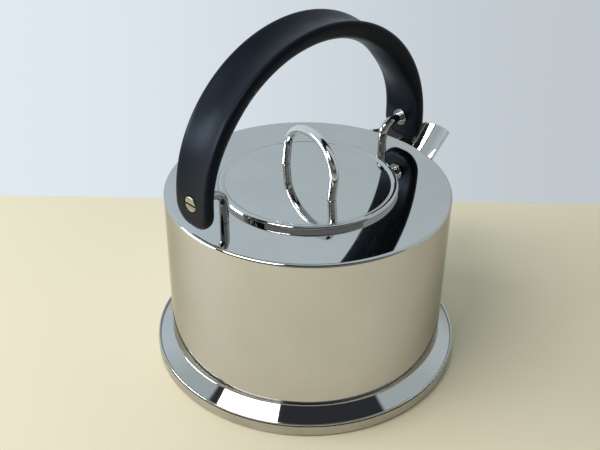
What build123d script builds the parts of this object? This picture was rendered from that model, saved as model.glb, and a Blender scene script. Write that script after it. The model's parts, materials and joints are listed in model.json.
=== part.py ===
from build123d import *
from math import cos, isclose, radians, sin
import os

os.makedirs("parts", exist_ok=True)

# Stovetop whistling kettle, in millimetres. The origin is the centre of the base on the hob,
# +Z is up and +X points to the spout. The handle stands in the XZ plane.

# Body: polished sheet, straight wall, flat top
body_radius = 74.0
body_height = 97.0
sheet = 1.0
top_edge_radius = 1.7

# Flared foot and the sandwich base below it
foot_flare = 8.4
foot_bead_radius = 0.5
crease_height = 12.5
crease_radius = 0.6
base_lip = 0.1
band_edge_radius = 1.2
spreader_thickness = 4.6
base_seam = 0.4
base_clearance = 0.2

# Filling mouth in the top, and the lid that drops into it
deck_width = 31.5
mouth_bend_radius = 1.6
collar_depth = 7.0
lid_overlap = 4.0
lid_rise = 2.2
lid_bead_rise = 0.7
lid_bead_width = 3.7
lid_bead_slope = 0.9
lid_bead_foot_radius = 0.8
lid_bead_radius = 2.0
lid_edge_radius = 1.5
lid_ring_sheet = 0.8
lid_ring_clearance = 0.6
lid_ring_depth = 9.0
lid_ring_flange = 8.0
lid_ring_bend_radius = 1.5

# Bent rod for the lid knob and the handle posts, each with a shouldered, peened end
rod_radius = 2.35
rod_chamfer = 0.35
spigot_radius = 1.7
spigot_clearance = 0.05
washer_radius = 5.5
washer_thickness = 1.0
peen_radius = 2.8
peen_height = 1.2

# Lid knob: a tall arch across the lid, turned a little off square to the handle and leaning
# a few degrees to the spout
knob_inset = 24.5
knob_leg = 4.5
knob_turn = -10.5
knob_lean = 5.5

# Handle posts and the pivot line that runs through their outer ends
post_inset = 19.2
post_bend_radius = 7.0
pivot_rise = 17.0

# Handle: moulded strap, a slightly flattened arch over two straight rounded ends, its outer
# face dished
handle_overhang = 0.2
handle_rise = 72.0
handle_thickness = 5.6
handle_crown_thickness = 7.2
handle_width = 25.0
handle_end_drop = 12.5
handle_end_radius = 10.0
handle_outer_round = 2.6
handle_inner_round = 2.6
handle_dish_depth = 1.4
handle_dish_width = 18.6

# Flanged bushes that turn on the rod ends, and the slotted screws outside
bush_wall = 1.15
bush_flange_radius = 4.5
bush_flange_thickness = 1.0
bush_clearance = 0.05
running_clearance = 0.05
screw_head_radius = 4.0
screw_head_height = 2.0
screw_head_round = 0.5
screw_head_clearance = 0.4
screw_shank_radius = 1.45
screw_shank_length = 7.0
screw_slot_width = 0.9
screw_slot_depth = 1.0
screw_slot_turn = -4.0
screw_end_gap = 0.1
thread_clearance = 0.03

# Spout: an open beak of sheet, level with the top, its sides drawn in to a blunt bowed tip
spout_overhang = 30.7
spout_root_width = 47.6
spout_tip_width = 17.6
spout_tip_bow = 2.1
spout_corner_radius = 3.0
spout_wall = 1.2
spout_angle = 47.0
spout_rim_round = 0.4
spout_hole_radius = 9.0
spout_hole_drop = 18.0

# Flap whistle inside the spout, measured from the tip back along its slope
whistle_recess = 23.8
whistle_rise = 10.4
whistle_radius = 9.3
seat_thickness = 2.0
seat_clearance = 0.05
flap_margin = 3.0
flap_lap = 1.3
flap_offset = 1.2
flap_sheet = 0.8
flap_depth = 2.4
whistle_hole_radius = 1.6
hinge_inset = 3.0
hinge_pin_radius = 0.6
hinge_knuckle_radius = 1.1
hinge_knuckle_width = 6.0
hinge_side_gap = 0.3
hinge_ear_width = 1.3

# Heights and radii that follow from the sizes above
foot_radius = body_radius + foot_flare
band_radius = foot_radius + base_lip
floor_top = sheet + spreader_thickness + sheet
band_height = floor_top - base_seam
cup_inner_radius = band_radius - sheet
mouth_radius = body_radius - deck_width
lid_radius = mouth_radius + lid_overlap
knob_half_width = lid_radius - knob_inset
lid_top = body_height + lid_rise
lid_crest = lid_top + lid_bead_rise
lid_underside = lid_top - sheet
lid_ring_radius = mouth_radius - lid_ring_clearance
lid_ring_floor = body_height - lid_ring_depth
post_radius = body_radius - post_inset
pivot_height = body_height + pivot_rise
handle_half_span = body_radius + handle_overhang
handle_inner_span = handle_half_span - handle_thickness
handle_inner_rise = handle_rise - handle_crown_thickness
handle_end_height = pivot_height - handle_end_drop
counterbore_floor = handle_half_span - screw_head_height
rod_end = counterbore_floor + screw_end_gap
bush_bore_radius = rod_radius + running_clearance
bush_radius = bush_bore_radius + bush_wall
spout_reach = body_radius + spout_overhang
spout_root = (body_radius**2 - (spout_root_width / 2) ** 2) ** 0.5
spout_draw = (spout_root_width - spout_tip_width) / 2 / (spout_reach - spout_tip_bow - spout_root)
spout_hole_height = body_height - spout_hole_drop
flap_radius = whistle_radius - flap_margin
seat_hole_radius = flap_radius - flap_lap
hinge_offset = whistle_radius - hinge_inset

sides = {"front": 1, "rear": -1}

# Base cup: the satin band seen round the foot and the face that stands on the hob
with BuildPart() as base_cap:
    with BuildSketch(Plane.XZ):
        with BuildLine():
            cap_line = FilletPolyline(
                (0, 0), (band_radius, 0), (band_radius, band_height), radius=band_edge_radius
            )
            offset(cap_line, amount=sheet, side=Side.LEFT)
        make_face()
    revolve(axis=Axis.Z)
base_cap.part.label = "base_cap"
export_step(base_cap.part, "parts/base_cap.step")

# Aluminium disc that spreads the heat, closed in between the cup and the floor
with BuildPart() as heat_spreader:
    with BuildSketch(Plane.XY.offset(sheet)):
        Circle(band_radius - band_edge_radius - base_clearance)
    extrude(amount=spreader_thickness)
heat_spreader.part.label = "heat_spreader"
export_step(heat_spreader.part, "parts/heat_spreader.step")

# Floor of the vessel, which carries the foot of the body
with BuildPart() as vessel_floor:
    with BuildSketch(Plane.XY.offset(sheet + spreader_thickness)):
        Circle(cup_inner_radius - base_clearance)
    extrude(amount=sheet)
vessel_floor.part.label = "vessel_floor"
export_step(vessel_floor.part, "parts/vessel_floor.step")

# Spout directions: out along its slope, and square to that on the side of the vessel
spout_slope = radians(spout_angle)
spout_tip = Vector(spout_reach, 0, body_height)
spout_out = Vector(cos(spout_slope), 0, sin(spout_slope))
spout_up = Vector(-sin(spout_slope), 0, cos(spout_slope))
spout_length = (spout_overhang + spout_wall) / cos(spout_slope)

# Body: flared foot, wall, top and the collar turned down round the filling mouth
foot_edge = Vector(foot_radius - foot_bead_radius, floor_top)
crease = Vector(body_radius, crease_height)
foot_overrun = foot_edge + (foot_edge - crease).normalized() * 2 * sheet
with BuildPart() as body_shell:
    with BuildSketch(Plane.XZ):
        with BuildLine():
            shell_line = FilletPolyline(
                foot_overrun,
                crease,
                (body_radius, body_height),
                (mouth_radius, body_height),
                (mouth_radius, body_height - collar_depth),
                radius=[crease_radius, top_edge_radius, mouth_bend_radius],
            )
            offset(shell_line, amount=sheet, side=Side.LEFT)
        make_face()
        with Locations((foot_radius - foot_bead_radius, floor_top + foot_bead_radius)):
            Circle(foot_bead_radius)
    revolve(axis=Axis.Z)
    split(bisect_by=Plane.XY.offset(floor_top), keep=Keep.TOP)
    with BuildSketch(Plane.YZ):
        with Locations((0, spout_hole_height)):
            Circle(spout_hole_radius)
    extrude(amount=2 * body_radius, mode=Mode.SUBTRACT)
    with Locations(*[(side * post_radius, 0, body_height) for side in sides.values()]):
        Hole(spigot_radius + spigot_clearance, depth=sheet)
body_shell.part.label = "body_shell"
export_step(body_shell.part, "parts/body_shell.step")

# Plan of the spout at the level of the top, carried on into the vessel behind the wall
spout_heel = spout_root - 2 * spout_wall
spout_heel_half = spout_root_width / 2 + spout_draw * 2 * spout_wall
spout_shoulder = spout_reach - spout_tip_bow
with BuildSketch(Plane.XY.offset(body_height)) as spout_plan:
    with BuildLine():
        Polyline(
            (spout_shoulder, spout_tip_width / 2),
            (spout_heel, spout_heel_half),
            (spout_heel, -spout_heel_half),
            (spout_shoulder, -spout_tip_width / 2),
        )
        ThreePointArc(
            (spout_shoulder, -spout_tip_width / 2),
            (spout_reach, 0),
            (spout_shoulder, spout_tip_width / 2),
        )
    make_face()
    fillet(spout_plan.vertices().group_by(Axis.X)[-1], spout_corner_radius)

# Spout: the plan drawn down and back along the slope, hollow, and trimmed to the wall
with BuildPart() as spout_beak:
    extrude(spout_plan.sketch, amount=spout_length, dir=-spout_out)
    with BuildSketch(Plane.XY.offset(body_height)):
        offset(spout_plan.sketch, amount=-spout_wall)
    extrude(amount=spout_length, dir=-spout_out, mode=Mode.SUBTRACT)
    fillet(spout_beak.faces().sort_by(Axis.Z)[-1].edges(), spout_rim_round)
    Cylinder(body_radius, 4 * body_height, mode=Mode.SUBTRACT)
spout_beak.part.label = "spout_beak"
export_step(spout_beak.part, "parts/spout_beak.step")

# Seat plate across the spout under the level seen from above, with two ears for the hinge pin
flap_centre = spout_tip - spout_out * whistle_recess + spout_up * whistle_rise
flap_plane = Plane(origin=flap_centre, x_dir=spout_up, z_dir=spout_out)
hinge_height = hinge_knuckle_radius + hinge_side_gap
ear_centre = hinge_knuckle_width / 2 + hinge_side_gap + hinge_ear_width / 2
pin_half_length = ear_centre + hinge_ear_width / 2
with BuildPart() as whistle_seat:
    with BuildSketch(Plane.XY.offset(body_height)):
        offset(spout_plan.sketch, amount=-spout_wall - seat_clearance)
    extrude(amount=spout_length, dir=-spout_out)
    with BuildSketch(flap_plane):
        Rectangle(2 * spout_length, 2 * spout_root_width)
    extrude(amount=-seat_thickness, mode=Mode.INTERSECT)
    Cylinder(body_radius + seat_clearance, 4 * body_height, mode=Mode.SUBTRACT)
    with BuildSketch(flap_plane):
        with Locations((-flap_offset, 0)):
            Circle(seat_hole_radius)
    extrude(amount=-seat_thickness, mode=Mode.SUBTRACT)
    with BuildSketch(flap_plane) as ear_feet:
        with Locations((hinge_offset, ear_centre), (hinge_offset, -ear_centre)):
            Rectangle(2 * hinge_knuckle_radius, hinge_ear_width)
    extrude(amount=hinge_height + hinge_knuckle_radius)
    with Locations(flap_plane * Location((hinge_offset, 0, hinge_height), (90, 0, 0))):
        Cylinder(hinge_pin_radius, 2 * pin_half_length, mode=Mode.SUBTRACT)
whistle_seat.part.label = "whistle_seat"
export_step(whistle_seat.part, "parts/whistle_seat.step")

# Hinge pin across the upper side of the bore
with BuildPart() as whistle_pin:
    with Locations(flap_plane * Location((hinge_offset, 0, hinge_height), (90, 0, 0))):
        Cylinder(hinge_pin_radius, 2 * pin_half_length)
whistle_pin.part.label = "whistle_pin"
export_step(whistle_pin.part, "parts/whistle_pin.step")

# Flap: a shallow round cup with a centre hole, hung from the pin by a tab and a knuckle
tab_length = hinge_offset + flap_offset
with BuildPart() as whistle_cup:
    with BuildSketch(flap_plane):
        with Locations((-flap_offset, 0)):
            Circle(flap_radius)
        with Locations((hinge_offset - tab_length / 2, 0)):
            Rectangle(tab_length, hinge_knuckle_width)
    extrude(amount=flap_depth)
    with BuildSketch(flap_plane.offset(flap_sheet)):
        with Locations((-flap_offset, 0)):
            Circle(flap_radius - flap_sheet)
    extrude(amount=flap_depth - flap_sheet, mode=Mode.SUBTRACT)
    with BuildSketch(flap_plane):
        with Locations((-flap_offset, 0)):
            Circle(whistle_hole_radius)
    extrude(amount=flap_sheet, mode=Mode.SUBTRACT)
    with Locations(flap_plane * Location((hinge_offset, 0, hinge_height), (90, 0, 0))):
        Cylinder(hinge_knuckle_radius, hinge_knuckle_width)
        Cylinder(hinge_pin_radius + running_clearance, hinge_knuckle_width, mode=Mode.SUBTRACT)
whistle_cup.part.label = "whistle_cup"
export_step(whistle_cup.part, "parts/whistle_cup.step")

# Plate that closes the cup, with the second sounding hole
with BuildPart() as whistle_plate:
    with BuildSketch(flap_plane.offset(flap_depth)):
        with Locations((-flap_offset, 0)):
            Circle(flap_radius)
            Circle(whistle_hole_radius, mode=Mode.SUBTRACT)
    extrude(amount=flap_sheet)
whistle_plate.part.label = "whistle_plate"
export_step(whistle_plate.part, "parts/whistle_plate.step")

# Posts: rod on a shouldered end through the top, up and outwards to the pivot line
deck_underside = body_height - sheet
for name, side in sides.items():
    with BuildPart() as post:
        with BuildLine(Plane.XZ) as post_path:
            FilletPolyline(
                (side * post_radius, body_height),
                (side * post_radius, pivot_height),
                (side * rod_end, pivot_height),
                radius=post_bend_radius,
            )
        with BuildSketch(Plane.XY.offset(body_height)):
            with Locations((side * post_radius, 0)):
                Circle(rod_radius)
        sweep(path=post_path.line)
        chamfer(post.edges().sort_by(Axis.Z)[0], rod_chamfer)
        with BuildSketch(Plane.XY.offset(body_height)):
            with Locations((side * post_radius, 0)):
                Circle(spigot_radius)
        extrude(amount=-sheet - washer_thickness)
        with BuildSketch(Plane.XY.offset(deck_underside - washer_thickness)):
            with Locations((side * post_radius, 0)):
                Circle(peen_radius)
        extrude(amount=-peen_height)
        with BuildSketch(Plane.YZ.offset(side * rod_end)):
            with Locations((0, pivot_height)):
                Circle(screw_shank_radius + thread_clearance)
        extrude(amount=-side * screw_shank_length, mode=Mode.SUBTRACT)
    post.part.label = f"{name}_post"
    export_step(post.part, f"parts/{name}_post.step")

    # Washer under the top that the post's end is peened over
    with BuildPart() as post_washer:
        with BuildSketch(Plane.XY.offset(deck_underside)):
            with Locations((side * post_radius, 0)):
                Circle(washer_radius)
                Circle(spigot_radius + spigot_clearance, mode=Mode.SUBTRACT)
        extrude(amount=-washer_thickness)
    post_washer.part.label = f"{name}_post_washer"
    export_step(post_washer.part, f"parts/{name}_post_washer.step")

    # Slotted screw in the end of the rod, its head sunk in the handle's outer face
    with BuildPart() as screw:
        with BuildSketch(Plane.YZ.offset(side * rod_end)):
            with Locations((0, pivot_height)):
                Circle(screw_head_radius)
        extrude(amount=side * screw_head_height)
        head_rim = screw.edges().sort_by(Axis.X)[-1 if side > 0 else 0]
        fillet(head_rim, screw_head_round)
        with BuildSketch(Plane.YZ.offset(side * (rod_end + screw_head_height))):
            with Locations((0, pivot_height)):
                Rectangle(2 * screw_head_radius, screw_slot_width, rotation=screw_slot_turn)
        extrude(amount=-side * screw_slot_depth, mode=Mode.SUBTRACT)
        with BuildSketch(Plane.YZ.offset(side * rod_end)):
            with Locations((0, pivot_height)):
                Circle(screw_shank_radius)
        extrude(amount=-side * (screw_shank_length - screw_end_gap))
    screw.part.label = f"{name}_screw"
    export_step(screw.part, f"parts/{name}_screw.step")

    # Flanged bush in the handle end, turning on the rod
    with BuildPart() as bush:
        with BuildSketch(Plane.YZ.offset(side * handle_inner_span)):
            with Locations((0, pivot_height)):
                Circle(bush_flange_radius)
        extrude(amount=-side * bush_flange_thickness)
        with BuildSketch(Plane.YZ.offset(side * handle_inner_span)):
            with Locations((0, pivot_height)):
                Circle(bush_radius)
        extrude(amount=side * (counterbore_floor - handle_inner_span))
        with BuildSketch(Plane.YZ.offset(side * counterbore_floor)):
            with Locations((0, pivot_height)):
                Circle(bush_bore_radius)
        extrude(amount=-side * (handle_thickness + bush_flange_thickness), mode=Mode.SUBTRACT)
    bush.part.label = f"{name}_bush"
    export_step(bush.part, f"parts/{name}_bush.step")

# Handle: the strap's side view drawn in the XZ plane, its ends and edges rounded afterwards
def strap_edges(strap, half_span):
    """Edges round the strap's face at this half span, without the seams across it at the pivot line."""
    edges = strap.edges().filter_by(lambda edge: not isclose(edge.center().Z, pivot_height))
    return edges.filter_by(
        lambda edge: all(isclose(abs(end.X), half_span) for end in (edge @ 0, edge @ 1))
    )


dish_radius = (handle_dish_width / 2) ** 2 / (2 * handle_dish_depth)
dish_height = pivot_height + handle_rise - handle_dish_depth - handle_half_span
with BuildPart() as handle_grip:
    with BuildSketch(Plane.XZ):
        with BuildLine():
            for span, rise in (handle_half_span, handle_rise), (handle_inner_span, handle_inner_rise):
                EllipticalCenterArc((0, pivot_height), span, rise, arc_size=180)
                for side in sides.values():
                    Line((side * span, pivot_height), (side * span, handle_end_height))
            for side in sides.values():
                Line(
                    (side * handle_inner_span, handle_end_height),
                    (side * handle_half_span, handle_end_height),
                )
        make_face()
    extrude(amount=handle_width / 2, both=True)
    fillet(handle_grip.edges().filter_by(Axis.X), handle_end_radius)
    fillet(strap_edges(handle_grip, handle_half_span), handle_outer_round)
    fillet(strap_edges(handle_grip, handle_inner_span), handle_inner_round)
    with BuildSketch(Plane.XY.offset(dish_height)):
        with Locations((handle_half_span + dish_radius, 0)):
            Circle(dish_radius)
    revolve(axis=Axis((0, 0, dish_height), (0, -1, 0)), revolution_arc=180, mode=Mode.SUBTRACT)
    with BuildSketch(Plane.YZ):
        with Locations((0, pivot_height)):
            Circle(bush_radius + bush_clearance)
    extrude(amount=handle_half_span, both=True, mode=Mode.SUBTRACT)
    with BuildSketch(Plane.YZ):
        with Locations((0, pivot_height)):
            Circle(bush_flange_radius + bush_clearance)
    extrude(amount=handle_inner_span, both=True, mode=Mode.SUBTRACT)
    for side in sides.values():
        with BuildSketch(Plane.YZ.offset(side * counterbore_floor)):
            with Locations((0, pivot_height)):
                Circle(screw_head_radius + screw_head_clearance)
        extrude(amount=side * screw_head_height, mode=Mode.SUBTRACT)
handle_grip.part.label = "handle_grip"
export_step(handle_grip.part, "parts/handle_grip.step")

# Lid: a shallow raised cap with a bead round its edge, resting on the top round the filling mouth
knob_angle = 90 + knob_turn
knob_feet = [Vector(side * knob_half_width, 0).rotate(Axis.Z, knob_angle) for side in sides.values()]
with BuildPart() as lid_plate:
    with BuildSketch(Plane.XZ):
        with BuildLine():
            lid_line = FilletPolyline(
                (0, lid_top),
                (lid_radius - lid_bead_width, lid_top),
                (lid_radius - lid_bead_width + lid_bead_slope, lid_crest),
                (lid_radius, lid_crest),
                (lid_radius, body_height),
                radius=[lid_bead_foot_radius, lid_bead_radius, lid_edge_radius],
            )
            offset(lid_line, amount=sheet, side=Side.RIGHT)
        make_face()
    revolve(axis=Axis.Z)
    with Locations(*[(foot.X, foot.Y, lid_top) for foot in knob_feet]):
        Hole(spigot_radius + spigot_clearance, depth=sheet)
lid_plate.part.label = "lid_plate"
export_step(lid_plate.part, "parts/lid_plate.step")

# Ring under the lid that centres it in the mouth
with BuildPart() as lid_ring:
    with BuildSketch(Plane.XZ):
        with BuildLine():
            ring_line = FilletPolyline(
                (lid_ring_radius - lid_ring_flange, lid_underside),
                (lid_ring_radius, lid_underside),
                (lid_ring_radius, lid_ring_floor),
                radius=lid_ring_bend_radius,
            )
            offset(ring_line, amount=lid_ring_sheet, side=Side.RIGHT)
        make_face()
    revolve(axis=Axis.Z)
lid_ring.part.label = "lid_ring"
export_step(lid_ring.part, "parts/lid_ring.step")

# Knob: rod arch with a shouldered end at each foot
knob_plane = Plane(
    origin=(0, 0, lid_top),
    x_dir=Vector(1, 0, 0).rotate(Axis.Z, knob_angle),
    z_dir=Vector(0, -1, 0).rotate(Axis.X, knob_lean).rotate(Axis.Z, knob_angle),
)
with BuildPart() as lid_knob:
    with BuildLine(knob_plane) as knob_path:
        Line((-knob_half_width, -sheet), (-knob_half_width, knob_leg))
        CenterArc((0, knob_leg), knob_half_width, 180, -180)
        Line((knob_half_width, knob_leg), (knob_half_width, -sheet))
    with BuildSketch(Plane(origin=knob_path.line @ 0, z_dir=knob_path.line % 0)):
        Circle(rod_radius)
    sweep(path=knob_path.line)
    split(bisect_by=Plane.XY.offset(lid_top), keep=Keep.TOP)
    chamfer(lid_knob.faces().sort_by(Axis.Z)[:2].edges(), rod_chamfer)
    with BuildSketch(Plane.XY.offset(lid_top)):
        with Locations(*knob_feet):
            Circle(spigot_radius)
    extrude(amount=-sheet - washer_thickness)
    with BuildSketch(Plane.XY.offset(lid_underside - washer_thickness)):
        with Locations(*knob_feet):
            Circle(peen_radius)
    extrude(amount=-peen_height)
lid_knob.part.label = "lid_knob"
export_step(lid_knob.part, "parts/lid_knob.step")

# Washers under the lid that the knob's ends are peened over
with BuildPart() as knob_washers:
    with BuildSketch(Plane.XY.offset(lid_underside)):
        with Locations(*knob_feet):
            Circle(washer_radius)
            Circle(spigot_radius + spigot_clearance, mode=Mode.SUBTRACT)
    extrude(amount=-washer_thickness)
knob_washers.part.label = "knob_washers"
export_step(knob_washers.part, "parts/knob_washers.step")
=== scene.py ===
import json
import math

import bpy
from bpy.props import FloatProperty, FloatVectorProperty, PointerProperty
from mathutils import Matrix, Vector


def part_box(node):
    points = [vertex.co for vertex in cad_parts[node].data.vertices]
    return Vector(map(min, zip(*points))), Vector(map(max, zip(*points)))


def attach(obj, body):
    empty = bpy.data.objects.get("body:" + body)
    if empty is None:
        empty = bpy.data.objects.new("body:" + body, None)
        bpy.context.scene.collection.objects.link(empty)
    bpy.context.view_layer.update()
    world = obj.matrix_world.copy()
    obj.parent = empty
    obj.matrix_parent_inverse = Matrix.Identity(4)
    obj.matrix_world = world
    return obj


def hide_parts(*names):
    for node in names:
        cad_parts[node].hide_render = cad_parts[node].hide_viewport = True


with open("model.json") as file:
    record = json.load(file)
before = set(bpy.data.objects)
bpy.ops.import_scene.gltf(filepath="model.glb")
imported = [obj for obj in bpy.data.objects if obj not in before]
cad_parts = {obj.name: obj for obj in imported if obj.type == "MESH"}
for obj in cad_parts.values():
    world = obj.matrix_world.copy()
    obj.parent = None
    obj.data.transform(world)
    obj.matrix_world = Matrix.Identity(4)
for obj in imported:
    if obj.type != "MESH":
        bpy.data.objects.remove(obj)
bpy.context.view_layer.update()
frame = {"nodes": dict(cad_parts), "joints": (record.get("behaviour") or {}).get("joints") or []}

bl_info = {
    "name": "Stovetop Kettle Finishes",
    "version": (1, 0, 0),
    "blender": (4, 5, 0),
    "location": "3D View > Sidebar > Kettle",
    "description": "Handle, knob, finishes and studio for the packed stovetop kettle",
    "category": "Object",
}

# Pivot of the handle's swing, the frame's first joint.
HANDLE_PIVOT = Vector(frame["joints"][0]["pos_m"])

# Nodes of the packed kettle by finish.
POLISHED_SHEET = ("body_shell", "spout_beak", "lid_plate")
SATIN_RINGS = (
    "base_cap", "vessel_floor", "lid_ring", "knob_washers", "front_post_washer",
    "rear_post_washer", "whistle_seat", "whistle_cup", "whistle_plate",
)
DRAWN_RODS = (
    "front_post", "rear_post", "front_bush", "rear_bush", "lid_knob", "whistle_pin",
)
SCREW_HEADS = ("front_screw", "rear_screw")
SPREADER = ("heat_spreader",)

# Nodes that modelled pieces replace, and the washers that give the knob its levels.
HANDLE = ("handle_grip",)
KNOB = ("lid_knob",)
LID_WASHERS = "knob_washers"

# Steps of the modelled curves.
ARCH_STEPS = 96
END_STEPS = 7
FACE_STEPS = 14
HOLE_SIDES = 64
KNOB_STEPS = 48
ROD_SIDES = 32

# The strap's belly starts this high over the pivot and is full this much higher.
BELLY_START = 0.0045
BELLY_FADE = 0.042

# Heights of the bumps, in metres.
SATIN_BUMP = 0.000012
ROD_BUMP = 0.0000005
SCREW_BUMP = 0.000008
SPREADER_BUMP = 0.00001
GRAIN_BUMP = 0.000018

# Depths under a screw's face at which the painted shade in its slot is full and at which it ends.
SLOT_SHADE_FULL = 0.0008
SLOT_SHADE_END = 0.0003

# Places of nodes in the shader editor.
NODE_GAP = 200
AT_COORDINATES = (-1400, 0)
AT_TONE = (-1000, 300)
AT_ROUGH = (-1000, 0)
AT_BUMP = (-1000, -300)
AT_RIPPLE = (-1000, -600)
AT_SLOT = (-1000, 600)

# A Mix node's sockets when it mixes colours.
MIX_FACTOR, MIX_FIRST, MIX_SECOND, MIX_RESULT = 0, 6, 7, 2

# The floor's reach to each side, towards the camera, and away at its left and right ends.
FLOOR_SIDE = 3.0
FLOOR_NEAR = 4.0
FLOOR_AWAY = (0.1515, 0.1435)

# The backdrop's blends, as ranges of a direction's share along the axis named.
BACKDROP_ACROSS = (-0.33, 0.33)
BACKDROP_UP = (-0.1, 0.15)
CEILING_AWAY = (0.1, 0.6)
STUDIO_AWAY = (-0.172, -0.14)
STUDIO_SLANT = 0.096

# Bands of the studio behind the camera: height, and share of its low colour.
STUDIO_BANDS = ((0.14, 0.9), (0.2, 0.2), (0.36, 0.2), (0.42, 0.9), (0.56, 0.8))
STUDIO_TOP = 0.72

# Lamps: name, power setting, size, place (right, near, up), colour, long side (right, away).
LAMPS = (
    (
        "softbox", "softbox_power", (0.83, 0.45), (-0.68, 0.505, 1.2),
        (1.0, 0.985, 0.96), (0.92, -0.39),
    ),
    (
        "window", "window_power", (0.72, 0.26), (-1.15, 0.05, 0.44),
        (0.8, 0.9, 1.0), (0.0, 1.0),
    ),
)
LAMP_AIM = Vector((0, 0, 0.08))
SENSOR_WIDTH = 36


class KettleSteelSettings(bpy.types.PropertyGroup):
    """Colours and polish of the metal pieces."""

    sheet_colour: FloatVectorProperty(
        name="Sheet Colour", description="Reflected colour of the polished sheet",
        subtype="COLOR", size=4, min=0, max=1, default=(0.61, 0.607, 0.6, 1),
    )
    edge_tint: FloatVectorProperty(
        name="Edge Tint", description="Reflected colour of polished sheet seen at a flat angle",
        subtype="COLOR", size=4, min=0, max=1, default=(0.68, 0.66, 0.61, 1),
    )
    sheet_roughness: FloatProperty(
        name="Sheet Roughness", description="Roughness of the cleanest polished sheet",
        subtype="FACTOR", min=0, max=1, default=0.025,
    )
    smudge_roughness: FloatProperty(
        name="Smudge Roughness", description="Roughness where the polish is handled and dull",
        subtype="FACTOR", min=0, max=1, default=0.09,
    )
    ripple_height: FloatProperty(
        name="Ripple Height", description="Height of the slow waves in the polished sheet",
        subtype="DISTANCE", unit="LENGTH", min=0, default=0.00002,
    )
    satin_colour: FloatVectorProperty(
        name="Satin Colour", description="Reflected colour of the satin base and inner pieces",
        subtype="COLOR", size=4, min=0, max=1, default=(0.5, 0.485, 0.46, 1),
    )
    satin_roughness: FloatProperty(
        name="Satin Roughness", description="Mean roughness of the satin rings",
        subtype="FACTOR", min=0, max=1, default=0.3,
    )
    rod_colour: FloatVectorProperty(
        name="Rod Colour", description="Reflected colour of the drawn rod",
        subtype="COLOR", size=4, min=0, max=1, default=(0.45, 0.45, 0.448, 1),
    )
    screw_colour: FloatVectorProperty(
        name="Screw Colour", description="Reflected colour of the slotted heads",
        subtype="COLOR", size=4, min=0, max=1, default=(0.4, 0.37, 0.305, 1),
    )
    spreader_colour: FloatVectorProperty(
        name="Spreader Colour", description="Reflected colour of the raw aluminium disc",
        subtype="COLOR", size=4, min=0, max=1, default=(0.7, 0.71, 0.72, 1),
    )


class KettleHandleSettings(bpy.types.PropertyGroup):
    """Colour, surface and sizes of the moulded handle."""

    plastic_colour: FloatVectorProperty(
        name="Plastic Colour", description="Colour of the moulded black plastic",
        subtype="COLOR", size=4, min=0, max=1, default=(0.0048, 0.0062, 0.0098, 1),
    )
    gloss_tint: FloatVectorProperty(
        name="Gloss Tint", description="Colour of the handle's soft gloss",
        subtype="COLOR", size=4, min=0, max=1, default=(0.66, 0.83, 1.0, 1),
    )
    plastic_roughness: FloatProperty(
        name="Plastic Roughness", description="Mean roughness of the satin moulding",
        subtype="FACTOR", min=0, max=1, default=0.38,
    )
    strap_width: FloatProperty(
        name="Strap Width", description="Width of the strap",
        subtype="DISTANCE", unit="LENGTH", min=0.005, default=0.025,
    )
    strap_thickness: FloatProperty(
        name="Strap Thickness", description="Thickness of the strap at its pivots",
        subtype="DISTANCE", unit="LENGTH", min=0.003, default=0.0056,
    )
    crown_thickness: FloatProperty(
        name="Crown Thickness", description="Thickness of the strap's edges at the crown",
        subtype="DISTANCE", unit="LENGTH", min=0.003, default=0.0072,
    )
    belly_depth: FloatProperty(
        name="Belly Depth", description="How far the inner face stands out along its middle",
        subtype="DISTANCE", unit="LENGTH", min=0, default=0.004,
    )
    dish_depth: FloatProperty(
        name="Dish Depth", description="How far the outer face is hollowed along its middle",
        subtype="DISTANCE", unit="LENGTH", min=0, default=0.0024,
    )
    outer_round: FloatProperty(
        name="Outer Rounding", description="Radius of the edges of the outer face",
        subtype="DISTANCE", unit="LENGTH", min=0.0001, default=0.0026,
    )
    inner_round: FloatProperty(
        name="Inner Rounding", description="Radius of the edges of the inner face at the pivots",
        subtype="DISTANCE", unit="LENGTH", min=0.0001, default=0.0026,
    )
    crown_round: FloatProperty(
        name="Crown Rounding", description="Radius of the edges of the inner face over the arch",
        subtype="DISTANCE", unit="LENGTH", min=0.0001, default=0.0045,
    )
    end_drop: FloatProperty(
        name="End Drop", description="How far the strap's ends reach below the pivots",
        subtype="DISTANCE", unit="LENGTH", min=0.005, default=0.0125,
    )
    end_radius: FloatProperty(
        name="End Radius", description="Radius of the rounded corners of the ends",
        subtype="DISTANCE", unit="LENGTH", min=0.001, default=0.0105,
    )
    bush_hole: FloatProperty(
        name="Bush Hole", description="Radius of the hole that each bush is pressed into",
        subtype="DISTANCE", unit="LENGTH", min=0.0005, default=0.0036,
    )
    head_hole: FloatProperty(
        name="Head Hole", description="Radius of the counterbore round each screw head",
        subtype="DISTANCE", unit="LENGTH", min=0.0005, default=0.0044,
    )
    head_depth: FloatProperty(
        name="Head Depth", description="Depth of the counterbore round each screw head",
        subtype="DISTANCE", unit="LENGTH", min=0.0002, default=0.002,
    )
    grain_size: FloatProperty(
        name="Grain Size", description="Size of the fine texture left by the mould",
        subtype="DISTANCE", unit="LENGTH", min=0.0001, default=0.0004,
    )


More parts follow.
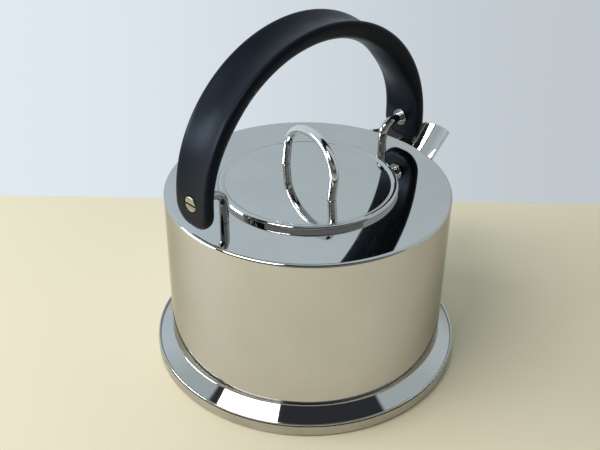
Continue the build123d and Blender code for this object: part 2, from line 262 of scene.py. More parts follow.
class KettleKnobSettings(bpy.types.PropertyGroup):
    """Sizes of the bent-rod knob."""

    rod_radius: FloatProperty(
        name="Rod Radius", description="Radius of the drawn rod",
        subtype="DISTANCE", unit="LENGTH", min=0.0005, default=0.00235,
    )
    foot_reach: FloatProperty(
        name="Foot Reach", description="Distance of each foot from the lid's centre",
        subtype="DISTANCE", unit="LENGTH", min=0.005, default=0.022,
    )
    leg_height: FloatProperty(
        name="Leg Height", description="Height of the straight legs",
        subtype="DISTANCE", unit="LENGTH", min=0.001, default=0.0103,
    )
    arch_rise: FloatProperty(
        name="Arch Rise", description="Rise of the arch above its legs",
        subtype="DISTANCE", unit="LENGTH", min=0.001, default=0.0157,
    )
    turn: FloatProperty(
        name="Turn", description="Turn of the knob off square to the handle",
        subtype="ANGLE", unit="ROTATION", default=math.radians(-10.5),
    )
    lean: FloatProperty(
        name="Lean", description="Lean of the knob towards the spout",
        subtype="ANGLE", unit="ROTATION", default=math.radians(5),
    )
    lid_sheet: FloatProperty(
        name="Lid Sheet", description="Thickness of the lid's sheet between knob and washers",
        subtype="DISTANCE", unit="LENGTH", min=0.0001, default=0.001,
    )
    foot_chamfer: FloatProperty(
        name="Foot Chamfer", description="Chamfer round the feet and the peened ends",
        subtype="DISTANCE", unit="LENGTH", min=0.0001, default=0.00035,
    )
    spigot_radius: FloatProperty(
        name="Spigot Radius", description="Radius of the spigot through the lid",
        subtype="DISTANCE", unit="LENGTH", min=0.0005, default=0.0017,
    )
    peen_radius: FloatProperty(
        name="Peen Radius", description="Radius of the peened end",
        subtype="DISTANCE", unit="LENGTH", min=0.0005, default=0.0028,
    )
    peen_height: FloatProperty(
        name="Peen Height", description="Height of the peened end",
        subtype="DISTANCE", unit="LENGTH", min=0.0002, default=0.0012,
    )


class KettleStageSettings(bpy.types.PropertyGroup):
    """Camera, floor, backdrop and lamps."""

    camera_place: FloatVectorProperty(
        name="Camera Place", description="Where the camera stands",
        subtype="TRANSLATION", unit="LENGTH", size=3, default=(-0.2839, -0.3030, 0.3343),
    )
    camera_heading: FloatProperty(
        name="Camera Heading", description="Turn of the view from +Y towards +X",
        subtype="ANGLE", unit="ROTATION", default=math.radians(42.6),
    )
    camera_pitch: FloatProperty(
        name="Camera Pitch", description="How far the view looks down",
        subtype="ANGLE", unit="ROTATION", default=math.radians(32.28),
    )
    camera_roll: FloatProperty(
        name="Camera Roll", description="Turn of the camera about its own view line",
        subtype="ANGLE", unit="ROTATION", default=math.radians(0.796),
    )
    camera_lens: FloatProperty(
        name="Lens", description="Focal length on a 36 mm wide frame, in millimetres",
        min=1, default=55.59,
    )
    floor_colour: FloatVectorProperty(
        name="Floor Colour", description="Pale warm colour of the floor",
        subtype="COLOR", size=4, min=0, max=1, default=(0.832, 0.734, 0.532, 1),
    )
    backdrop_light: FloatVectorProperty(
        name="Backdrop Light Side", description="Backdrop colour on the lit side",
        subtype="COLOR", size=4, min=0, max=1, default=(0.744, 0.826, 0.874, 1),
    )
    backdrop_dark: FloatVectorProperty(
        name="Backdrop Far Side", description="Backdrop colour on the far side",
        subtype="COLOR", size=4, min=0, max=1, default=(0.524, 0.572, 0.615, 1),
    )
    upper_light: FloatVectorProperty(
        name="Upper Studio Light Side", description="Studio colour above the backdrop, lit side",
        subtype="COLOR", size=4, min=0, max=1, default=(0.653, 0.77, 0.848, 1),
    )
    upper_dark: FloatVectorProperty(
        name="Upper Studio Far Side", description="Studio colour above the backdrop, far side",
        subtype="COLOR", size=4, min=0, max=1, default=(0.593, 0.678, 0.705, 1),
    )
    ceiling: FloatVectorProperty(
        name="Ceiling", description="Studio colour high over the kettle",
        subtype="COLOR", size=4, min=0, max=1, default=(0.5, 0.57, 0.58, 1),
    )
    studio_low: FloatVectorProperty(
        name="Studio Low", description="Colour of the studio low down behind the camera",
        subtype="COLOR", size=4, min=0, max=1, default=(0.3, 0.31, 0.32, 1),
    )
    studio_dark: FloatVectorProperty(
        name="Studio Dark", description="Colour of the unlit studio high up behind the camera",
        subtype="COLOR", size=4, min=0, max=1, default=(0.035, 0.038, 0.046, 1),
    )
    softbox_power: FloatProperty(
        name="Softbox Power", description="Power of the softbox overhead",
        subtype="POWER", unit="POWER", min=0, default=9.4,
    )
    window_power: FloatProperty(
        name="Window Power", description="Power of the soft light low on the left",
        subtype="POWER", unit="POWER", min=0, default=9.6,
    )


def make_node(tree, kind, place=(0, 0), inputs=None, **options):
    """Add a node, set its options and its unlinked inputs."""
    made = tree.nodes.new(kind)
    made.location = place
    for name, value in options.items():
        setattr(made, name, value)
    for key, value in (inputs or {}).items():
        made.inputs[key].default_value = value
    return made


def start_finish(name):
    """Start a node material on Object coordinates."""
    finish = bpy.data.materials.new(name)
    finish.use_nodes = True
    tree = finish.node_tree
    shader = tree.nodes["Principled BSDF"]
    coordinates = make_node(tree, "ShaderNodeTexCoord", AT_COORDINATES)
    return finish, tree, shader, coordinates.outputs["Object"]


def noise(tree, vector, place, scale, detail, roughness, stretch=None):
    """Noise on the given coordinates, stretched by a Mapping where asked."""
    if stretch:
        mapping = make_node(
            tree, "ShaderNodeMapping", (place[0] - NODE_GAP, place[1]), {"Scale": stretch}
        )
        tree.links.new(vector, mapping.inputs["Vector"])
        vector = mapping.outputs["Vector"]
    made = make_node(
        tree, "ShaderNodeTexNoise", place,
        {"Scale": scale, "Detail": detail, "Roughness": roughness},
    )
    tree.links.new(vector, made.inputs["Vector"])
    return made.outputs["Fac"]


def ramp(tree, source, low, high, place=(-600, 0), start=0.0, end=1.0):
    """Map a factor between two values, eased and clamped."""
    made = make_node(
        tree, "ShaderNodeMapRange", place,
        {"From Min": start, "From Max": end, "To Min": low, "To Max": high},
        interpolation_type="SMOOTHSTEP",
    )
    tree.links.new(source, made.inputs["Value"])
    return made.outputs["Result"]


def colour_ramp(tree, source, low, high, place=(-600, 300), start=0.35, end=0.65):
    """Blend two colours by a factor."""
    made = make_node(tree, "ShaderNodeValToRGB", place)
    first, last = made.color_ramp.elements
    first.position, first.color = start, low
    last.position, last.color = end, high
    tree.links.new(source, made.inputs["Fac"])
    return made.outputs["Color"]


def blend_colours(tree, factor, first, second, place=(-400, 300)):
    """Mix two colours, given as sockets or values, by a factor."""
    made = make_node(tree, "ShaderNodeMix", place, data_type="RGBA")
    tree.links.new(factor, made.inputs[MIX_FACTOR])
    for index, colour in ((MIX_FIRST, first), (MIX_SECOND, second)):
        if isinstance(colour, bpy.types.NodeSocket):
            tree.links.new(colour, made.inputs[index])
        else:
            made.inputs[index].default_value = colour
    return made.outputs[MIX_RESULT]


def combine(tree, kind, first, second, place=(-400, 0)):
    """Join two factors with a Math node."""
    made = make_node(tree, "ShaderNodeMath", place, operation=kind)
    for socket, value in zip(made.inputs, (first, second)):
        if isinstance(value, (int, float)):
            socket.default_value = value
        else:
            tree.links.new(value, socket)
    return made.outputs["Value"]


def bump(tree, height, distance, place=(-250, -300)):
    """Bump of the given real height."""
    made = make_node(tree, "ShaderNodeBump", place, {"Strength": 1.0, "Distance": distance})
    tree.links.new(height, made.inputs["Height"])
    return made.outputs["Normal"]


def tinted(colour, factor):
    """A darker or lighter shade of a colour."""
    return tuple(min(1.0, channel * factor) for channel in colour[:3]) + (1.0,)


def shades(tree, source, colour, dark, light):
    """A colour that varies between a darker and a lighter shade of itself."""
    return colour_ramp(tree, source, tinted(colour, dark), tinted(colour, light))


def feed(tree, shader, sources):
    """Link sources to the shader's sockets."""
    for name, source in sources.items():
        tree.links.new(source, shader.inputs[name])


def dress(names, finish):
    """Put a finish in the material slots of CAD nodes."""
    for name in names:
        for slot in frame["nodes"][name].material_slots:
            slot.material = finish


def polished_steel(settings):
    """Mirror-polished sheet: slow ripple, fine buffing lines and faint handling marks."""
    finish, tree, shader, points = start_finish("polished_steel")
    shader.inputs["Metallic"].default_value = 1.0
    shader.inputs["Specular Tint"].default_value = settings.edge_tint
    patches = noise(tree, points, AT_TONE, scale=38, detail=4.0, roughness=0.6)
    smudges = noise(tree, points, AT_ROUGH, scale=24, detail=5.0, roughness=0.62)
    lines = noise(
        tree, points, AT_BUMP, scale=900, detail=2.0, roughness=0.6, stretch=(1.0, 1.0, 0.02)
    )
    waves = noise(tree, points, AT_RIPPLE, scale=26, detail=1.0, roughness=0.4)
    dull = ramp(
        tree, smudges, settings.sheet_roughness, settings.smudge_roughness, start=0.5, end=0.78
    )
    streak = ramp(tree, lines, low=0.0, high=0.02, place=(-600, -150), start=0.45, end=0.8)
    feed(tree, shader, {
        "Base Color": shades(tree, patches, settings.sheet_colour, dark=0.97, light=1.02),
        "Roughness": combine(tree, "ADD", dull, streak),
        "Normal": bump(tree, waves, settings.ripple_height),
    })
    return finish


def satin_steel(settings):
    """Satin steel turned in rings round the kettle's axis."""
    finish, tree, shader, points = start_finish("satin_steel")
    shader.inputs["Metallic"].default_value = 1.0
    rings = noise(
        tree, points, AT_ROUGH, scale=1600, detail=3.0, roughness=0.65, stretch=(0.03, 0.03, 1.0)
    )
    patches = noise(tree, points, AT_TONE, scale=60, detail=4.0, roughness=0.6)
    mean = settings.satin_roughness
    feed(tree, shader, {
        "Base Color": shades(tree, patches, settings.satin_colour, dark=0.9, light=1.06),
        "Roughness": ramp(tree, rings, mean - 0.08, mean + 0.1, start=0.3, end=0.7),
        "Normal": bump(tree, rings, SATIN_BUMP),
    })
    return finish


def rod_steel(settings):
    """Bright drawn rod with a faint unevenness and handling marks."""
    finish, tree, shader, points = start_finish("rod_steel")
    shader.inputs["Metallic"].default_value = 1.0
    patches = noise(tree, points, AT_TONE, scale=180, detail=3.0, roughness=0.55)
    marks = noise(tree, points, AT_ROUGH, scale=140, detail=4.0, roughness=0.6)
    waves = noise(tree, points, AT_BUMP, scale=90, detail=1.0, roughness=0.5)
    feed(tree, shader, {
        "Base Color": shades(tree, patches, settings.rod_colour, dark=0.96, light=1.03),
        "Roughness": ramp(tree, marks, low=0.09, high=0.13, start=0.45, end=0.75),
        "Normal": bump(tree, waves, ROD_BUMP),
    })
    return finish


def turned_screw(settings):
    """Screw heads faced on a lathe: fine rings round the screw's axis, and painted shade darkening
    the slot.
    """
    finish, tree, shader, points = start_finish("turned_screw")
    shader.inputs["Metallic"].default_value = 1.0
    flat = make_node(
        tree, "ShaderNodeMapping", (AT_ROUGH[0] - NODE_GAP, AT_ROUGH[1]),
        {"Location": -HANDLE_PIVOT, "Scale": (0.0, 1.0, 1.0)}, vector_type="POINT",
    )
    tree.links.new(points, flat.inputs["Vector"])
    lathe = make_node(
        tree, "ShaderNodeTexWave", AT_ROUGH,
        {"Scale": 900.0, "Distortion": 0.6, "Detail": 2.0},
        wave_type="RINGS", rings_direction="SPHERICAL",
    )
    tree.links.new(flat.outputs["Vector"], lathe.inputs["Vector"])
    rings = lathe.outputs["Fac"]
    patches = noise(tree, points, AT_TONE, scale=420, detail=4.0, roughness=0.6)
    bright = shades(tree, patches, settings.screw_colour, dark=0.86, light=1.05)
    split = make_node(tree, "ShaderNodeSeparateXYZ", (AT_SLOT[0] - NODE_GAP, AT_SLOT[1]))
    tree.links.new(points, split.inputs["Vector"])
    reach = combine(tree, "ABSOLUTE", split.outputs["X"], 0.0, AT_SLOT)
    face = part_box(SCREW_HEADS[0])[1][0]
    # Painted shade: the slot's floor is coloured near black, fading out towards the face.
    unshaded_face = ramp(
        tree, reach, low=0.0, high=1.0, place=(AT_SLOT[0] + NODE_GAP, AT_SLOT[1]),
        start=face - SLOT_SHADE_FULL, end=face - SLOT_SHADE_END,
    )
    feed(tree, shader, {
        "Base Color": blend_colours(tree, unshaded_face, tinted(settings.screw_colour, 0.12), bright),
        "Roughness": ramp(tree, rings, low=0.24, high=0.34),
        "Normal": bump(tree, rings, SCREW_BUMP),
    })
    return finish


def raw_aluminium(settings):
    """Raw rolled aluminium of the heat spreader."""
    finish, tree, shader, points = start_finish("raw_aluminium")
    shader.inputs["Metallic"].default_value = 1.0
    grain = noise(
        tree, points, AT_ROUGH, scale=700, detail=3.0, roughness=0.6, stretch=(0.05, 1.0, 1.0)
    )
    feed(tree, shader, {
        "Base Color": shades(tree, grain, settings.spreader_colour, dark=0.9, light=1.05),
        "Roughness": ramp(tree, grain, low=0.32, high=0.5),
        "Normal": bump(tree, grain, SPREADER_BUMP),
    })
    return finish


def moulded_plastic(settings):
    """Satin black moulding with the fine texture of its mould and a few handling marks."""
    finish, tree, shader, points = start_finish("moulded_plastic")
    shader.inputs["IOR"].default_value = 1.4
    shader.inputs["Specular IOR Level"].default_value = 0.16
    shader.inputs["Specular Tint"].default_value = settings.gloss_tint
    patches = noise(tree, points, AT_TONE, scale=55, detail=4.0, roughness=0.6)
    grain = noise(tree, points, AT_BUMP, scale=1 / settings.grain_size, detail=2.0, roughness=0.55)
    mean = settings.plastic_roughness
    feed(tree, shader, {
        "Base Color": shades(tree, patches, settings.plastic_colour, dark=0.82, light=1.22),
        "Roughness": ramp(tree, patches, mean - 0.05, mean + 0.06, start=0.3, end=0.72),
        "Normal": bump(tree, grain, GRAIN_BUMP),
    })
    return finish


def studio_axes(settings):
    """Level directions of the view: to its right and away from the camera."""
    heading = settings.camera_heading
    right = Vector((math.cos(heading), -math.sin(heading), 0))
    away = Vector((math.sin(heading), math.cos(heading), 0))
    return right, away


def studio_place(settings, right_m, near_m, up_m):
    """A place given to the right of the kettle, nearer the camera and above the floor."""
    right, away = studio_axes(settings)
    return right * right_m - away * near_m + Vector((0, 0, up_m))


def clear_selection():
    """Leave edit mode and select nothing."""
    if bpy.context.object and bpy.context.object.mode != "OBJECT":
        bpy.ops.object.mode_set(mode="OBJECT")
    bpy.ops.object.select_all(action="DESELECT")


def turn_selected(axis, angle, centre):
    """Turn what is selected about an axis; without a window the operator turns backwards."""
    bpy.ops.transform.rotate(value=-angle, orient_axis=axis, center_override=centre)


class RodEnd:
    """The selected end of a rod, drawn out step by step in edit mode."""

    def __init__(self, place, radius):
        self.place = Vector(place)
        self.radius = radius
        self.heading = 0.0

    def draw_to(self, *place):
        """Extrude the end on to another place."""
        step = Vector(place) - self.place
        bpy.ops.mesh.extrude_region_move(TRANSFORM_OT_translate={"value": step})
        self.place = Vector(place)

    def widen_to(self, radius):
        """Bring the level end to another radius."""
        scale = radius / self.radius
        bpy.ops.transform.resize(value=(scale, scale, 1), center_override=self.place)
        self.radius = radius

    def head_to(self, heading):
        """Turn the end to another heading, measured from upright."""
        turn_selected("Y", heading - self.heading, self.place)
        self.heading = heading


class KETTLE_OT_polish_sheet(bpy.types.Operator):
    """Polish the body, spout and lid"""

    bl_idname = "kettle.polish_sheet"
    bl_label = "Polish Sheet"

    def execute(self, context):
        dress(POLISHED_SHEET, polished_steel(context.scene.kettle_steel))
        return {"FINISHED"}


class KETTLE_OT_turn_satin(bpy.types.Operator):
    """Turn the base, washers and whistle to a satin finish"""

    bl_idname = "kettle.turn_satin"
    bl_label = "Turn Satin Pieces"

    def execute(self, context):
        dress(SATIN_RINGS, satin_steel(context.scene.kettle_steel))
        dress(SPREADER, raw_aluminium(context.scene.kettle_steel))
        return {"FINISHED"}


class KETTLE_OT_draw_rods(bpy.types.Operator):
    """Finish the posts, knob, bushes and pin as bright drawn rod"""

    bl_idname = "kettle.draw_rods"
    bl_label = "Finish Rods"

    def execute(self, context):
        dress(DRAWN_RODS, rod_steel(context.scene.kettle_steel))
        return {"FINISHED"}


class KETTLE_OT_bend_knob(bpy.types.Operator):
    """Bend the lid's knob from rod, with straight legs and peened ends"""

    bl_idname = "kettle.bend_knob"
    bl_label = "Bend Knob"

    def execute(self, context):
        settings = context.scene.kettle_knob
        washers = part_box(LID_WASHERS)
        top = washers[1][2] + settings.lid_sheet
        foot = self.foot_steps(settings, washers[0][2], top)
        knob = self.draw_rod(context, settings, foot, top)
        self.lean_and_turn(knob, settings, top)
        knob.data.materials.append(bpy.data.materials["rod_steel"])
        bpy.ops.object.shade_smooth_by_angle(angle=math.radians(30))
        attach(knob, "lid")
        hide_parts(*KNOB)
        return {"FINISHED"}

    def foot_steps(self, settings, under, top):
        """Height and radius of each step of a foot, from its peened end up to the rod."""
        rod, chamfer, peen = settings.rod_radius, settings.foot_chamfer, settings.peen_radius
        low = under - settings.peen_height
        return [
            (low, peen - chamfer), (low + chamfer, peen), (under, peen),
            (under, settings.spigot_radius), (top, settings.spigot_radius),
            (top, rod - chamfer), (top + chamfer, rod),
        ]

    def draw_rod(self, context, settings, foot, top):
        """Draw the rod upright along X, from one foot over the arch to the other."""
        reach, rise = settings.foot_reach, settings.arch_rise
        height, radius = foot[0]
        clear_selection()
        bpy.ops.mesh.primitive_circle_add(
            vertices=ROD_SIDES, radius=radius, fill_type="NGON", location=(-reach, 0, height)
        )
        knob = context.object
        knob.name = knob.data.name = "knob_rod"
        bpy.ops.object.transform_apply(location=True, rotation=False, scale=False)
        bpy.ops.object.mode_set(mode="EDIT")
        bpy.ops.mesh.select_all(action="SELECT")
        end = RodEnd((-reach, 0, height), radius)
        for height, radius in foot[1:]:
            end.draw_to(-reach, 0, height)
            end.widen_to(radius)
        for step in range(KNOB_STEPS + 1):
            angle = math.pi * step / KNOB_STEPS
            along, up = -reach * math.cos(angle), math.sin(angle)
            end.draw_to(along, 0, top + settings.leg_height + rise * up)
            end.head_to(math.atan2(reach * up, rise * math.cos(angle)))
        for height, radius in reversed(foot):
            end.draw_to(reach, 0, height)
            end.widen_to(radius)
        bpy.ops.mesh.select_all(action="SELECT")
        bpy.ops.mesh.normals_make_consistent(inside=False)
        bpy.ops.mesh.select_all(action="DESELECT")
        bpy.ops.object.mode_set(mode="OBJECT")
        return knob

    def lean_and_turn(self, knob, settings, top):
        """Lean the arch over its feet, then turn the whole knob."""
        for vertex in knob.data.vertices:
            vertex.select = vertex.co.z > top + 2 * settings.foot_chamfer
        bpy.ops.object.mode_set(mode="EDIT")
        turn_selected("X", settings.lean, (0, 0, top))
        bpy.ops.mesh.select_all(action="SELECT")
        turn_selected("Z", math.pi / 2 + settings.turn, (0, 0, 0))
        bpy.ops.object.mode_set(mode="OBJECT")


class KETTLE_OT_face_screws(bpy.types.Operator):
    """Face the slotted screw heads"""

    bl_idname = "kettle.face_screws"
    bl_label = "Face Screws"

    def execute(self, context):
        dress(SCREW_HEADS, turned_screw(context.scene.kettle_steel))
        return {"FINISHED"}


class StrapForm:
    """Outline and faces of the handle's strap, in metres."""

    def __init__(self, settings):
        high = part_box(HANDLE[0])[1]
        self.settings = settings
        self.pivot = HANDLE_PIVOT.z
        self.span = high[0]
        self.rise = high[2] - self.pivot
        self.half_width = settings.strap_width / 2

    def stations(self):
        """Steps from the rear end over the crown to the front end: drop below the pivot, turn."""
        drop, edge = self.settings.end_drop, self.settings.outer_round
        leg = [(drop - edge) * k / END_STEPS for k in range(END_STEPS)]
        for k in range(END_STEPS + 1):
            leg.append(drop - edge * (1 - math.sin(math.pi / 2 * k / END_STEPS)))
        arch = [(0.0, math.pi * k / ARCH_STEPS) for k in range(1, ARCH_STEPS)]
        return [(d, 0.0) for d in reversed(leg)] + arch + [(d, math.pi) for d in leg]

    def half_width_at(self, drop):
        """Half the strap's width this far below the pivot."""
        corner = self.settings.end_radius
        past = drop - (self.settings.end_drop - corner)
        if past <= 0:
            return self.half_width
        return self.half_width - corner + math.sqrt(max(0.0, corner ** 2 - past ** 2))

    def inset_at(self, y, drop):
        """Distance of a place on the strap from the strap's outline."""
        corner = self.settings.end_radius
        past = max(0.0, drop - (self.settings.end_drop - corner))
        over = max(0.0, abs(y) - (self.half_width - corner))
        return max(0.0, corner - math.hypot(past, over))

    def depth_at(self, y, drop, turn, inner):
        """Depth of the outer or inner face under the strap's outer curve."""
        settings = self.settings
        height = self.rise * math.sin(turn)
        swell = min(1.0, max(0.0, (height - BELLY_START) / BELLY_FADE))
        swell = swell * swell * (3 - 2 * swell)
        across = min(1.0, abs(y) / self.half_width)
        inset = self.inset_at(y, drop)
        if inner:
            edge = settings.inner_round + (settings.crown_round - settings.inner_round) * swell
            body = settings.strap_thickness
            body += (settings.crown_thickness - settings.strap_thickness) * swell
            body += settings.belly_depth * swell * (1 - across ** 2)
            return body - edge_drop(inset, edge)
        hollow = math.sqrt(max(0.0, math.sin(turn))) * (1 - across ** 2) ** 1.5
        return settings.dish_depth * hollow + edge_drop(inset, settings.outer_round)

    def place(self, y, drop, turn, depth):
        """The point at this depth under the outer curve."""
        x, z = -math.cos(turn) * self.span, math.sin(turn) * self.rise
        inward = Vector((math.cos(turn) * self.rise, 0, -math.sin(turn) * self.span)).normalized()
        return Vector((x, y, self.pivot + z - drop)) + inward * depth


def edge_drop(inset, radius):
    """Drop of a rounded edge at this distance in from its outline."""
    if inset >= radius:
        return 0.0
    return radius - math.sqrt(radius ** 2 - (radius - inset) ** 2)


class KETTLE_OT_mould_handle(bpy.types.Operator):
    """Model the moulded strap handle with its full inner face and give it its satin surface"""

    bl_idname = "kettle.mould_handle"
    bl_label = "Mould Handle"

    def execute(self, context):
        settings = context.scene.kettle_handle
        finish = moulded_plastic(settings)
        dress(HANDLE, finish)
        form = StrapForm(settings)
        strap = self.wrap_strap(context, form)
        self.bore(context, strap, 0, settings.bush_hole, form.span * 4)
        for side in (-1, 1):
            reach = side * (form.span - settings.head_depth + form.span / 2)
            self.bore(context, strap, reach, settings.head_hole, form.span)
        strap.data.materials.clear()
        strap.data.materials.append(finish)
        bpy.ops.object.shade_smooth_by_angle(angle=math.radians(40))
        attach(strap, "handle")
        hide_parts(*HANDLE)
        return {"FINISHED"}

    def wrap_strap(self, context, form):
        """Wrap a grid round the strap, closed round and at both ends.

        The section changes all along the strap, so the grid's points are placed by its form.
        """
        rings = self.sections(form)
        sides = len(rings[0])
        clear_selection()
        bpy.ops.mesh.primitive_grid_add(x_subdivisions=sides, y_subdivisions=len(rings) - 1, size=1)
        strap = context.object
        strap.name = strap.data.name = "handle_strap"
        for vertex in strap.data.vertices:
            row, column = divmod(vertex.index, sides + 1)
            vertex.co = rings[row][column % sides]
        bpy.ops.object.mode_set(mode="EDIT")
        bpy.ops.mesh.select_all(action="SELECT")
        bpy.ops.mesh.remove_doubles(threshold=0.000001)
        bpy.ops.mesh.select_all(action="DESELECT")
        bpy.ops.mesh.select_non_manifold()
        bpy.ops.mesh.fill()
        bpy.ops.mesh.select_all(action="SELECT")
        bpy.ops.mesh.normals_make_consistent(inside=False)
        bpy.ops.object.mode_set(mode="OBJECT")
        return strap

    def sections(self, form):
        """Rings of points from the strap's rear end over the crown to its front end."""
        steps = range(-FACE_STEPS, FACE_STEPS + 1)
        face = [math.sin(math.pi / 2 * k / FACE_STEPS) for k in steps]
        section = [(share, False) for share in face] + [(share, True) for share in reversed(face)]
        rings = []
        for drop, turn in form.stations():
            ring = []
            for share, inner in section:
                y = share * form.half_width_at(drop)
                ring.append(form.place(y, drop, turn, form.depth_at(y, drop, turn, inner)))
            rings.append(ring)
        return rings

    def bore(self, context, strap, reach, radius, length):
        """Cut a round hole along the pivot line, with its middle at this reach."""
        clear_selection()
        bpy.ops.mesh.primitive_cylinder_add(
            vertices=HOLE_SIDES, radius=radius, depth=length,
            location=(reach, 0, HANDLE_PIVOT.z), rotation=(0, math.pi / 2, 0),
        )
        cutter = context.object
        clear_selection()
        strap.select_set(True)
        context.view_layer.objects.active = strap
        cut = strap.modifiers.new("bore", "BOOLEAN")
        cut.operation = "DIFFERENCE"
        cut.solver = "EXACT"
        cut.object = cutter
        bpy.ops.object.modifier_apply(modifier=cut.name)
        bpy.data.objects.remove(cutter)


class KETTLE_OT_build_stage(bpy.types.Operator):
    """Set up the floor, backdrop, lamps and camera"""

    bl_idname = "kettle.build_stage"
    bl_label = "Build Stage"

    def execute(self, context):
        settings = context.scene.kettle_stage
        context.scene.view_settings.view_transform = "Standard"
        self.lay_floor(context, settings)
        self.light_world(context, settings)
        self.hang_lamps(context, settings)
        self.place_camera(context, settings)
        return {"FINISHED"}

    def lay_floor(self, context, settings):
        """Lay a plain floor that ends a little behind the kettle."""
        clear_selection()
        bpy.ops.mesh.primitive_plane_add(size=1)
        floor = context.object
        floor.name = "stage_floor"
        right, away = studio_axes(settings)
        corners = (
            away * FLOOR_AWAY[0] - right * FLOOR_SIDE, away * FLOOR_AWAY[1] + right * FLOOR_SIDE,
            away * -FLOOR_NEAR - right * FLOOR_SIDE, away * -FLOOR_NEAR + right * FLOOR_SIDE,
        )
        vertices = sorted(floor.data.vertices, key=lambda v: (-v.co.y, v.co.x))
        for vertex, corner in zip(vertices, corners):
            vertex.co = corner
        finish, tree, shader, points = start_finish("stage_floor")
        shader.inputs["Roughness"].default_value = 0.6
        shader.inputs["Specular IOR Level"].default_value = 0.2
        drift = noise(tree, points, AT_ROUGH, scale=3.0, detail=2.0, roughness=0.5)
        feed(tree, shader, {"Base Color": shades(tree, drift, settings.floor_colour, 0.985, 1.0)})
        floor.data.materials.append(finish)

    def light_world(self, context, settings):
        """Light the studio: a pale backdrop and ceiling, and dim bands behind the camera."""
        world = bpy.data.worlds.new("studio_world")
        context.scene.world = world
        world.use_nodes = True
        tree = world.node_tree
        background = tree.nodes["Background"]
        direction = make_node(tree, "ShaderNodeTexCoord", (-1200, 0)).outputs["Generated"]
        right, away = studio_axes(settings)

        def share(axis, row):
            made = make_node(tree, "ShaderNodeVectorMath", (-1000, row), operation="DOT_PRODUCT")
            made.inputs[1].default_value = axis
            tree.links.new(direction, made.inputs[0])
            return made.outputs["Value"]

        def between(source, limits, row):
            return ramp(tree, source, 0.0, 1.0, (-800, row), *limits)

        level = share((0, 0, 1), -100)
        across = between(share(right, 200), BACKDROP_ACROSS, 200)
        backdrop = colour_ramp(
            tree, across, settings.backdrop_light, settings.backdrop_dark, (-600, 300), 0.0, 1.0
        )
        upper = colour_ramp(
            tree, across, settings.upper_light, settings.upper_dark, (-600, 0), 0.0, 1.0
        )
        over = between(share(away, -300), CEILING_AWAY, -300)
        high = blend_colours(tree, over, settings.ceiling, upper, (-500, -100))
        raised = between(level, BACKDROP_UP, -100)
        far_side = blend_colours(tree, raised, backdrop, high, (-350, 200))
        near_side = self.studio_bands(tree, level, settings)
        far = between(share(away + right * STUDIO_SLANT, -500), STUDIO_AWAY, -500)
        studio = blend_colours(tree, far, near_side, far_side, (-150, 0))
        tree.links.new(studio, background.inputs["Color"])
        background.inputs["Strength"].default_value = 1.0

    def studio_bands(self, tree, level, settings):
        """Bands of the dim studio by their height."""
        made = make_node(tree, "ShaderNodeValToRGB", (-600, -600))
        tree.links.new(level, made.inputs["Fac"])
        bands = made.color_ramp.elements
        bands[0].position, bands[0].color = 0.0, settings.studio_low
        bands[1].position, bands[1].color = STUDIO_TOP, settings.studio_dark
        for height, share in STUDIO_BANDS:
            bands.new(height).color = tinted(settings.studio_low, share)
        return made.outputs["Color"]

    def hang_lamps(self, context, settings):
        """Hang the lamps, each facing the kettle."""
        right, away = studio_axes(settings)
        for name, power, size, place, colour, long_side in LAMPS:
            clear_selection()
            bpy.ops.object.light_add(type="AREA", location=studio_place(settings, *place))
            lamp = context.object
            lamp.name = name
            lamp.data.shape = "RECTANGLE"
            lamp.data.size, lamp.data.size_y = size
            lamp.data.energy = getattr(settings, power)
            lamp.data.color = colour
            lengthways = right * long_side[0] + away * long_side[1]
            back = (lamp.location - LAMP_AIM).normalized()
            across = (lengthways - back * lengthways.dot(back)).normalized()
            turn = Matrix((across, back.cross(across), back)).transposed()
            lamp.rotation_euler = turn.to_euler()

    def place_camera(self, context, settings):
        """Stand the camera where the kettle was seen from."""
        clear_selection()
        bpy.ops.object.camera_add(location=settings.camera_place)
        camera = context.object
        camera.name = "camera"
        turn = (
            Matrix.Rotation(-settings.camera_heading, 3, "Z")
            @ Matrix.Rotation(math.pi / 2 - settings.camera_pitch, 3, "X")
            @ Matrix.Rotation(settings.camera_roll, 3, "Z")
        )
        camera.rotation_euler = turn.to_euler()
        camera.data.sensor_width = SENSOR_WIDTH
        camera.data.lens = settings.camera_lens
        context.scene.camera = camera


class KETTLE_PT_panel(bpy.types.Panel):
    """Steps that finish the kettle"""

    bl_idname = "KETTLE_PT_panel"
    bl_label = "Kettle"
    bl_space_type = "VIEW_3D"
    bl_region_type = "UI"
    bl_category = "Kettle"

    def draw(self, context):
        """List the steps, then the settings of each group."""
        for step in STEPS:
            self.layout.operator(step.bl_idname)
        for group in GROUPS:
            box = self.layout.box()
            box.label(text=group.__doc__)
            settings = getattr(context.scene, GROUPS[group])
            for name in group.__annotations__:
                box.prop(settings, name)


GROUPS = {
    KettleSteelSettings: "kettle_steel",
    KettleHandleSettings: "kettle_handle",
    KettleKnobSettings: "kettle_knob",
    KettleStageSettings: "kettle_stage",
}
STEPS = (
    KETTLE_OT_polish_sheet, KETTLE_OT_turn_satin, KETTLE_OT_draw_rods, KETTLE_OT_bend_knob,
    KETTLE_OT_face_screws, KETTLE_OT_mould_handle, KETTLE_OT_build_stage,
)


def register():
    """Register the settings, the steps and the panel."""
    for group, name in GROUPS.items():
        bpy.utils.register_class(group)
        setattr(bpy.types.Scene, name, PointerProperty(type=group))
    for step in STEPS:
        bpy.utils.register_class(step)
    bpy.utils.register_class(KETTLE_PT_panel)


def unregister():
    """Take them away again, in the other order."""
    bpy.utils.unregister_class(KETTLE_PT_panel)
    for step in reversed(STEPS):
        bpy.utils.unregister_class(step)
    for group, name in reversed(GROUPS.items()):
        delattr(bpy.types.Scene, name)
        bpy.utils.unregister_class(group)


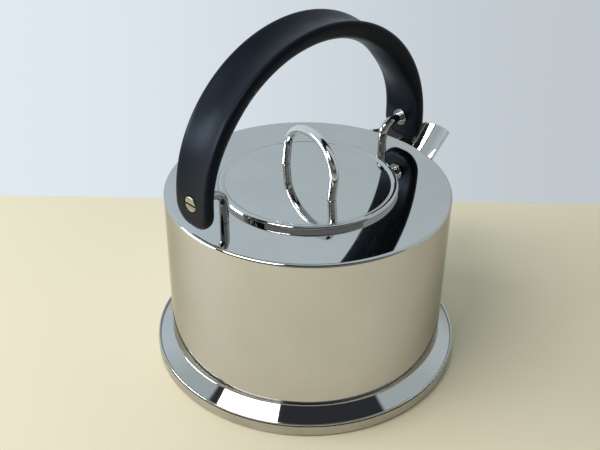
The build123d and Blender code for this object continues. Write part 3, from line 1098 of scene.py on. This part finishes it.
def main():
    """Finish the kettle and set its stage."""
    register()
    clear_selection()
    bpy.ops.kettle.polish_sheet()
    bpy.ops.kettle.turn_satin()
    bpy.ops.kettle.draw_rods()
    bpy.ops.kettle.bend_knob()
    bpy.ops.kettle.face_screws()
    bpy.ops.kettle.mould_handle()
    bpy.ops.kettle.build_stage()
    clear_selection()


if __name__ == "__main__":
    main()
